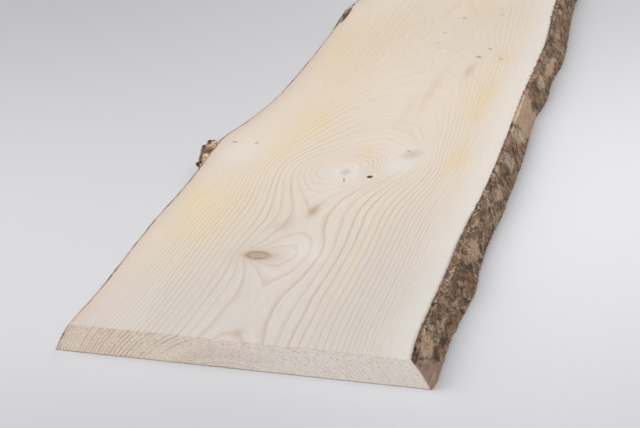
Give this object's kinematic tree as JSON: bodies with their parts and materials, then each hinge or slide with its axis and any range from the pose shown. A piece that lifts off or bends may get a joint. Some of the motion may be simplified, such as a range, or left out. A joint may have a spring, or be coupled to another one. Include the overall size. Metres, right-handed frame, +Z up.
{
  "type": "live-edge timber board",
  "caption": "Unedged sawn softwood board, two flat faces and natural edges with bark left on, lying flat.",
  "frame": {"origin": "on the ground, under the middle of the whole board", "axes": "+Y along the board from the butt end to the top end, +Z up through the thickness, +X towards the edge with thick bark"},
  "size_m": [0.3792, 2, 0.028],
  "materials": {
    "wood": "sawn, pale spruce",
    "bark": "flaky, rough bark",
    "inner_bark": "fibrous inner bark"
  },
  "bodies": {
    "root": {"board": "wood", "bark_right": "bark", "bark_left": "inner_bark", "bark_scab_near": "bark", "bark_scab_far": "bark"}
  },
  "joints": []
}
